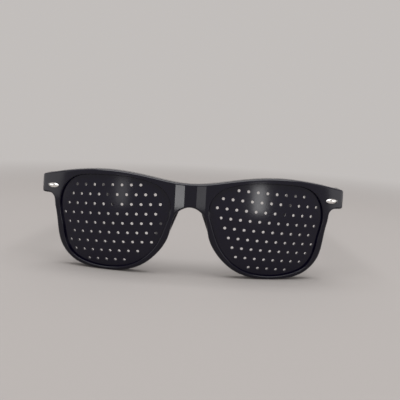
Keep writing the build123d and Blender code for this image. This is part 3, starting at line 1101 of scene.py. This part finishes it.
@dataclass
class Lens:
    """A domed plate with its staggered field of tapered pinholes."""

    side: Side
    shift: float
    form: FaceForm = FaceForm()
    setback: float = 1.2
    thickness: float = 1.2
    groove: float = 0.75
    edge_round: float = 0.12
    round_steps: int = 2
    edge_points: int = 200
    grid: Spans = ((8.0, 64.0, 2.0), (0.0, 48.0, 2.0))
    pitch: float = 4.48
    rows: int = 17
    tilt: float = 3.2
    lift: float = -0.3
    margin: float = 2.0
    front_radius: float = 0.65
    back_radius: float = 0.85
    pin_corners: int = 20
    pin_length: float = 3.0
    pin_sink: float = 2.0
    probe_back: float = 0.01
    probe_length: float = 0.1
    flush: float = 0.06
    steep: float = 0.8

    def face(self, outside: bool, flat: Array, region: Optional[Array] = None) -> tuple[Array, Array]:
        """The front or back of the left lens's dome.

        Args:
            outside: Whether it is the front.
            flat: Points in x and z.
            region: Not used, as there are no creases.

        Returns:
            The places and the facings.
        """
        f = self.form
        radius = f.radius - (self.setback if outside else self.setback + self.thickness)
        x, z = flat[:, 0] - f.centre_x, flat[:, 1] - f.lens_z
        y = -np.sqrt(radius**2 - x**2 - z**2)
        normal = np.column_stack([x, y, z]) / radius
        places = np.column_stack([flat[:, 0], y + f.radius + f.front_y, flat[:, 1]])
        return places, normal if outside else -normal

    def plate(self) -> bpy.types.Object:
        """Makes the left lens's plate without holes.

        Returns:
            The plate.
        """
        faces = partial(self.face, True), partial(self.face, False)
        slab = Slab(*faces, self.edge_round, self.edge_round, self.round_steps)
        chain = Chain.of(self.form.opening(self.edge_points).moved(self.groove), 1.0, True)
        return slab.skin(chain, lattice(self.grid)).mesh("lens_plate")

    def guide(self) -> bpy.types.Object:
        """Makes a flat sheet of the shape within which pinholes are drilled.

        Returns:
            The sheet.
        """
        loop = self.form.opening(self.edge_points).moved(-self.margin)
        data = bpy.data.meshes.new("pinhole_guide")
        data.from_pydata([(x * MM, 0.0, z * MM) for x, z in loop], [], [tuple(range(len(loop)))])
        return linked("pinhole_guide", data)

    def tree(self, guide: bpy.types.Object) -> GeometryTree:
        """Builds the tree that lays pins on the dome in staggered rows and cuts them out of the plate.

        Args:
            guide: The sheet that the pinholes stay within.

        Returns:
            The tree.
        """
        f = self.form
        sizes = {
            "Pitch": self.pitch,
            "Shift Across": self.shift,
            "Shift Up": self.lift,
            "Dome Radius": f.radius - self.setback,
            "Front Radius": self.front_radius,
            "Back Radius": self.back_radius,
            "Plate Thickness": self.thickness,
        }
        inputs = {"Row Tilt": math.radians(self.tilt), **{name: size * MM for name, size in sizes.items()}}
        t = GeometryTree("pinhole_field", inputs, {"Guide": guide, "Finish": LENS_PLASTIC.material()})
        tilt, pitch, shift, lift, radius, front, back, thick = t.numbers(*inputs)

        span = pitch * (self.rows - 1.0)
        size = {"Size X": span, "Size Y": span, "Vertices X": self.rows, "Vertices Y": self.rows}
        here = t.step("InputPosition", {})
        place = t.add("ShaderNodeSeparateXYZ", {0: here}).outputs
        x, y = Number(t, place["X"]), Number(t, place["Y"])
        odd = t.math("ABSOLUTE", t.math("MODULO", t.math("ROUND", y / pitch), 2.0))
        across, up = x + odd * 0.5 * pitch + shift, y + lift
        c, s = t.math("COSINE", tilt), t.math("SINE", tilt)
        out, rise = across * c + up * s, up * c - across * s
        yaw = t.math("ARCSINE", t.math("DIVIDE", (f.lens_x - f.centre_x) * MM, radius)) + out / radius
        lean = rise / radius
        level = t.math("COSINE", lean)
        sideways, forward = t.math("SINE", yaw) * level, t.math("COSINE", yaw) * level * -1.0
        ray = t.vector(sideways, forward, t.math("SINE", lean))
        marked = t.add("GeometryNodeCaptureAttribute")
        marked.capture_items.new("VECTOR", "Ray")
        t.feed(marked, {"Geometry": t.step("MeshGrid", size), "Ray": ray})
        reach = t.out("ShaderNodeVectorMath", {0: ray, "Scale": radius}, operation="SCALE")
        centre = (f.centre_x * MM, (f.radius + f.front_y) * MM, f.lens_z * MM)
        spot = t.out("ShaderNodeVectorMath", {0: reach, 1: centre}, operation="ADD")
        laid = t.step("SetPosition", {"Geometry": marked.outputs["Geometry"], "Position": spot})

        sheet = t.add("GeometryNodeObjectInfo", {"Object": t.given["Guide"]}, transform_space="ORIGINAL")
        ahead = {0: here, 1: (1.0, 0.0, 1.0), 2: (0.0, -self.probe_back, 0.0)}
        probe = {
            "Target Geometry": sheet.outputs["Geometry"],
            "Source Position": t.out("ShaderNodeVectorMath", ahead, operation="MULTIPLY_ADD"),
            "Ray Direction": (0.0, 1.0, 0.0),
            "Ray Length": self.probe_length,
        }
        missed = t.out("FunctionNodeBooleanMath", {0: t.step("Raycast", probe)}, operation="NOT")
        kept = t.step("DeleteGeometry", {"Geometry": laid, "Selection": missed}, domain="POINT")

        flare, depth = back - front, thick * self.pin_length
        cone = {"Radius Top": front - flare, "Radius Bottom": back + flare, "Depth": depth}
        pin = t.step("MeshCone", {"Vertices": self.pin_corners, **cone})
        aim = {"Vector": marked.outputs["Ray"]}
        pins = {
            "Points": kept,
            "Instance": t.moved(pin, 0.0, 0.0, thick * -self.pin_sink),
            "Rotation": t.out("FunctionNodeAlignRotationToVector", aim, axis="Z"),
        }
        t.end(t.cut(t.given["Geometry"], t.real(t.step("InstanceOnPoints", pins))))
        return t

    def shade(self, mesh: bpy.types.Mesh) -> None:
        """Sets each corner's facing from the dome, and from its own face in the pinholes.

        Args:
            mesh: The drilled plate.
        """
        f = self.form
        centre = np.array([f.centre_x * self.side.value, f.radius + f.front_y, f.lens_z]) * MM
        front = (f.radius - self.setback) * MM
        points = np.zeros(len(mesh.vertices) * 3)
        mesh.vertices.foreach_get("co", points)
        rays = points.reshape(-1, 3) - centre
        far = np.linalg.norm(rays, axis=1)
        facings = np.zeros((len(mesh.loops), 3))
        for face in mesh.polygons:
            loops, ids = list(face.loop_indices), list(face.vertices)
            facings[loops] = face.normal[:]
            for level, sign in ((front, 1.0), (front - self.thickness * MM, -1.0)):
                flush = np.abs(far[ids] - level).max() < self.flush * MM
                if flush and abs(face.normal @ Vector(rays[ids[0]])) > self.steep * level:
                    facings[loops] = rays[ids] / far[ids][:, None] * sign
        mesh.polygons.foreach_set("use_smooth", [True] * len(mesh.polygons))
        mesh.normals_split_custom_set(facings.tolist())

    def build(self) -> None:
        """Builds and dresses the lens."""
        guide = self.guide()
        mesh = self.tree(guide).run(self.plate())
        bpy.data.objects.remove(guide)
        if self.side is Side.RIGHT:
            mesh.transform(Matrix.Scale(-1, 4, (1, 0, 0)))
            mesh.flip_normals()
        self.shade(mesh)
        mesh.name = f"{self.side.word}_pinhole_plate"
        LENS_PLASTIC.ready(linked(mesh.name, mesh), "front", f"{self.side.word}_lens")
        log.info("%s: %d faces", mesh.name, len(mesh.polygons))


@dataclass
class Stud:
    """An oval metal stud on an endpiece, domed."""

    form: FaceForm = FaceForm()
    from_end: float = 6.3
    height_z: float = 38.4
    length: float = 6.6
    height: float = 2.5
    proud: float = 0.6
    recess: float = 0.5
    leans: tuple = (90, 80, 68, 56, 44, 33, 22, 12, 5)
    fullness: tuple[float, float] = (0.8, 0.9)
    lean_share: float = 0.95
    corners: int = 48

    def skin(self) -> Skin:
        """Makes the left stud's skin: rings from its foot up to its crown.

        Returns:
            The skin.
        """
        f = self.form
        across, rise = f.half_width - self.from_end - f.centre_x, self.height_z - f.lens_z
        out = np.array([across, -math.sqrt(f.radius**2 - across**2 - rise**2), rise]) / f.radius
        foot = np.array([f.centre_x, f.radius + f.front_y, f.lens_z]) + out * f.radius
        right = unit(np.array([-out[1], out[0], 0.0]))
        up = np.cross(out, right)
        turns = np.linspace(0, 2 * math.pi, self.corners, endpoint=False)
        cos, sin = np.cos(turns), np.sin(turns)
        away = unit(np.outer(cos / self.length, right) + np.outer(sin / self.height, up))
        oval = np.outer(cos * self.length / 2, right) + np.outer(sin * self.height / 2, up)
        rings, facings = [], []
        for step, lean in enumerate((90, *self.leans)):
            turn = math.radians(lean)
            level = self.proud * math.cos(turn) ** self.fullness[1] if step else -self.recess
            rings.append(foot + oval * math.sin(turn) ** self.fullness[0] + out * level)
            tilt = turn * self.lean_share
            facings.append(away * math.sin(tilt) + out * math.cos(tilt))
        skin = Skin()
        skin.strip(np.array(rings), np.array(facings), True)
        skin.add(rings[-1], facings[-1])
        skin.add(rings[0], np.repeat(-out[None], self.corners, 0))
        return skin

    def build(self) -> None:
        """Builds and dresses both studs."""
        STUD_METAL.ready_pair(self.skin(), "{side}_oval_stud", "front", "{side}_front_stud")


@dataclass
class Hinges:
    """The two hinges: leaves with softened edges, and slotted screws."""

    edge_bevel: float = 0.12
    bevel_steps: int = 2
    merge: float = 0.005
    shrink: float = 0.001
    flat_angle: float = 2.0
    sharp_angle: float = 30.0
    crisp_angle: float = 50.0
    sort_way: tuple[float, float, float] = (1.0, 0.6180, 0.2937)
    axis: tuple[float, float] = (66.4, -55.7942)
    low_z: float = 36.02
    height: float = 5.96
    shank: float = 0.7
    head: tuple[float, float] = (1.25, 0.8)
    slot: tuple[float, float] = (0.35, 0.4)
    chamfer: float = 0.2
    cutter_length: float = 4.0
    cutter_sink: float = 0.49
    shank_corners: int = 32
    head_corners: int = 40

    def leaf(self, node: str) -> bmesh.types.BMesh:
        """Takes a leaf as its solid has it and softens its sharp edges.

        Args:
            node: The leaf's solid.

        Returns:
            The leaf as a loose mesh.
        """
        solid, sharp = frame["nodes"][node], math.radians(self.sharp_angle)
        bm = bmesh.new()
        bm.from_mesh(solid.data)
        bmesh.ops.transform(bm, matrix=solid.matrix_world, verts=bm.verts[:])
        bmesh.ops.remove_doubles(bm, verts=bm.verts[:], dist=WELD)
        bmesh.ops.dissolve_limit(
            bm, angle_limit=math.radians(self.flat_angle), verts=bm.verts[:], edges=bm.edges[:]
        )
        bmesh.ops.bevel(
            bm, geom=[e for e in bm.edges if len(e.link_faces) == 2 and e.calc_face_angle() > sharp],
            offset=self.edge_bevel * MM, offset_type="OFFSET", segments=self.bevel_steps, profile=0.5,
            affect="EDGES", clamp_overlap=True,
        )
        bmesh.ops.remove_doubles(bm, verts=bm.verts[:], dist=self.merge * MM)
        bmesh.ops.dissolve_degenerate(bm, edges=bm.edges[:], dist=self.shrink * MM)
        return bm

    def tree(self, side: Side) -> GeometryTree:
        """Builds the tree of a slotted screw: a shank, a chamfered head and a slot cut across it.

        Args:
            side: Whose hinge the screw holds.

        Returns:
            The tree.
        """
        sizes = {
            "Shank Radius": self.shank,
            "Shank Length": self.height,
            "Head Radius": self.head[0],
            "Head Height": self.head[1],
            "Chamfer": self.chamfer,
            "Slot Width": self.slot[0],
            "Slot Depth": self.slot[1],
            "Axis X": self.axis[0] * side.value,
            "Axis Y": self.axis[1],
            "Foot Z": self.low_z,
        }
        inputs = {name: size * MM for name, size in sizes.items()}
        t = GeometryTree("slotted_screw", inputs, {"Finish": SCREW_STEEL.material()})
        shank, length, head, head_height, chamfer, slot_width, slot_depth, x, y, z = t.numbers(*sizes)
        flat, depth = head_height - chamfer, length + head_height * 0.5
        crown = {"Radius Top": head - chamfer, "Radius Bottom": head, "Depth": chamfer}
        whole = t.add("GeometryNodeMeshBoolean", operation="UNION", solver="MANIFOLD")
        for kind, corners, size, level in (
            ("MeshCylinder", self.shank_corners, {"Radius": shank, "Depth": depth}, depth * 0.5),
            ("MeshCylinder", self.head_corners, {"Radius": head, "Depth": flat}, length + flat * 0.5),
            ("MeshCone", self.head_corners, crown, length + flat),
        ):
            blank = t.step(kind, {"Vertices": corners, **size})
            t.feed(whole, {"Mesh 2": t.moved(blank, 0.0, 0.0, level)})
        cutter = t.step("MeshCube", {"Size": t.vector(slot_width, head * self.cutter_length, slot_depth)})
        cutter = t.moved(cutter, 0.0, 0.0, length + head_height - slot_depth * self.cutter_sink)
        t.end(t.moved(t.cut(whole.outputs["Mesh"], cutter), x, y, z))
        return t

    def screw(self, side: Side) -> bmesh.types.BMesh:
        """Turns a screw in its place.

        Args:
            side: Whose hinge it holds.

        Returns:
            The screw as a loose mesh.
        """
        bm = bmesh.new()
        bm.from_mesh(self.tree(side).run(linked("screw_blank", bpy.data.meshes.new("screw_blank"))))
        return bm

    def ready(self, finish: Finish, bm: bmesh.types.BMesh, name: str, body: str, node: str) -> None:
        """Makes a loose mesh an object whose plain angles stay crisp, and dresses it.

        The bevel's faces come in any order, so points and faces are first sorted by their places.

        Args:
            finish: Its finish.
            bm: The loose mesh.
            name: The object's name.
            body: The body that it moves with.
            node: The solid that it stands for.
        """
        way = Vector(self.sort_way)
        bm.verts.sort(key=lambda vert: vert.co @ way)
        bm.faces.sort(key=lambda face: face.calc_center_median() @ way)
        bmesh.ops.recalc_face_normals(bm, faces=bm.faces[:])
        made = smooth_object(bm, name)
        made.data.set_sharp_from_angle(angle=math.radians(self.crisp_angle))
        finish.ready(made, body, node)

    def build(self) -> None:
        """Builds and dresses the leaves and the screws."""
        for side in Side:
            word = side.word
            for part, body in (("front", "front"), ("temple", f"{word}_temple_arm")):
                node = f"{word}_{part}_hinge"
                self.ready(HINGE_STEEL, self.leaf(node), node + "_piece", body, node)
            screw = self.screw(side)
            self.ready(SCREW_STEEL, screw, f"{word}_slotted_screw", "front", f"{word}_hinge_screw")


@dataclass(frozen=True)
class Lamp:
    """A soft lamp: its place and size in metres, and its watts."""

    name: str
    place: tuple[float, float, float]
    size: tuple[float, float]
    power: float

    def build(self, target: Vector) -> None:
        """Hangs the lamp.

        Args:
            target: The place that it looks at.
        """
        data = bpy.data.lights.new(self.name, "AREA")
        data.shape, data.energy = "RECTANGLE", self.power
        data.size, data.size_y = self.size
        made = linked(self.name, data)
        made.visible_camera = False
        made.location = self.place
        made.rotation_euler = (target - Vector(self.place)).to_track_quat("-Z", "Y").to_euler()


@dataclass
class Studio:
    """A pale bowl for floor and backdrop, the lamps, and the camera at the photograph's angle, in metres."""

    room: tuple[float, float, float] = (0.54, 0.515, 0.500)
    floor: tuple[float, float, float] = (0.334, 0.316, 0.307)
    glow_reach: tuple[float, float] = (0.2, 0.55)
    rings: tuple[float, ...] = (0.2, 0.4, 0.6, 0.7)
    bend: float = 0.3
    bend_turns: tuple[int, int, int] = (6, 91, 6)
    wall_tops: tuple[float, float] = (0.5, 0.75)
    corners: int = 96
    target: tuple[float, float, float] = (0.0, -0.05, 0.02)
    lamps: tuple[Lamp, ...] = (
        Lamp("top", (0.0, -0.10, 0.75), (0.9, 0.6), 6.8),
        Lamp("left_strip", (-0.244, -0.60, 0.071), (0.07, 0.17), 0.065),
        Lamp("right_strip", (0.188, -0.60, 0.072), (0.07, 0.17), 0.24),
        Lamp("left_side", (-0.60, -0.10, 0.14), (0.60, 0.28), 0.52),
        Lamp("right_side", (0.60, -0.10, 0.14), (0.60, 0.28), 0.68),
    )
    camera_place: tuple[float, float, float] = (0.0087513, -0.2632321, 0.0692698)
    camera_turn: tuple[float, float, float] = (80.19455, -3.12236, 1.86176)
    sensor: float = 36.0
    lens: float = 37.8
    clip: tuple[float, float] = (0.01, 20.0)

    def surface(self) -> bpy.types.Material:
        """Makes the plain pale finish of the floor, which glows evenly far from the glasses like a lit room.

        Returns:
            The material.
        """
        made = bpy.data.materials.new("pale_paper")
        made.use_nodes = True
        net, nodes = NodeNet(made.node_tree), made.node_tree.nodes
        matt = {"Base Color": (*self.floor, 1), "Roughness": 0.9, "Specular IOR Level": 0.1}
        net.feed(nodes["Principled BSDF"], matt)
        place = net.add("ShaderNodeTexCoord").outputs["Object"]
        reach = net.add("ShaderNodeVectorMath", {0: place}, operation="LENGTH").outputs["Value"]
        fade = {"Value": reach, "From Min": self.glow_reach[0], "From Max": self.glow_reach[1]}
        inputs = {
            0: net.out("ShaderNodeMapRange", fade, interpolation_type="SMOOTHSTEP"),
            1: nodes["Principled BSDF"].outputs[0],
            2: net.out("ShaderNodeEmission", {"Color": (*self.room, 1)}),
        }
        net.feed(nodes["Material Output"], {"Surface": net.out("ShaderNodeMixShader", inputs)})
        return made

    def bowl(self) -> None:
        """Builds a round floor that curves up into a low wall, so that every side has a plain backdrop."""
        flat, count = self.rings[-1], self.corners
        bends = np.radians(np.arange(*self.bend_turns))
        line = [(r, 0.0) for r in self.rings] + [(flat + self.bend, z) for z in self.wall_tops]
        line[-2:-2] = [(flat + self.bend * math.sin(a), self.bend - self.bend * math.cos(a)) for a in bends]
        turns = np.linspace(0, 2 * math.pi, count, endpoint=False)
        verts = [(0.0, 0.0, 0.0)] + [(r * math.cos(a), r * math.sin(a), z) for r, z in line for a in turns]
        faces = [(0, 1 + j, 1 + (j + 1) % count) for j in range(count)]
        for low in range(1, 1 + (len(line) - 1) * count, count):
            for j in range(count):
                k = (j + 1) % count
                faces.append((low + j, low + count + j, low + count + k, low + k))
        data = bpy.data.meshes.new("pale_bowl")
        data.from_pydata(verts, [], faces)
        data.polygons.foreach_set("use_smooth", [True] * len(faces))
        data.materials.append(self.surface())
        linked("pale_bowl", data)

    def camera(self) -> None:
        """Sets up the camera at the place that the pinholes of the photograph gave."""
        data = bpy.data.cameras.new("camera")
        data.sensor_width, data.lens = self.sensor, self.lens
        data.clip_start, data.clip_end = self.clip
        made = linked("camera", data)
        made.location = self.camera_place
        made.rotation_euler = [math.radians(turn) for turn in self.camera_turn]
        bpy.context.scene.camera = made

    def build(self) -> None:
        """Builds the whole studio."""
        scene = bpy.context.scene
        scene.view_settings.view_transform = "Standard"
        scene.world = bpy.data.worlds.new("studio")
        scene.world.use_nodes = True
        sky = {"Color": (*self.room, 1), "Strength": 1.0}
        NodeNet(scene.world.node_tree).feed(scene.world.node_tree.nodes["Background"], sky)
        self.bowl()
        for lamp in self.lamps:
            lamp.build(Vector(self.target))
        self.camera()


def main() -> None:
    """Builds the pieces in order."""
    logging.basicConfig(level=logging.INFO, format="%(name)s: %(message)s")
    lenses = Lens(Side.LEFT, -1.25), Lens(Side.RIGHT, -0.1)
    for maker in (Studio(), Front(), Pads(), *lenses, Temple(), Stud(), Hinges()):
        maker.build()
        log.info("%s done", type(maker).__name__)


if __name__ == "__main__":
    main()
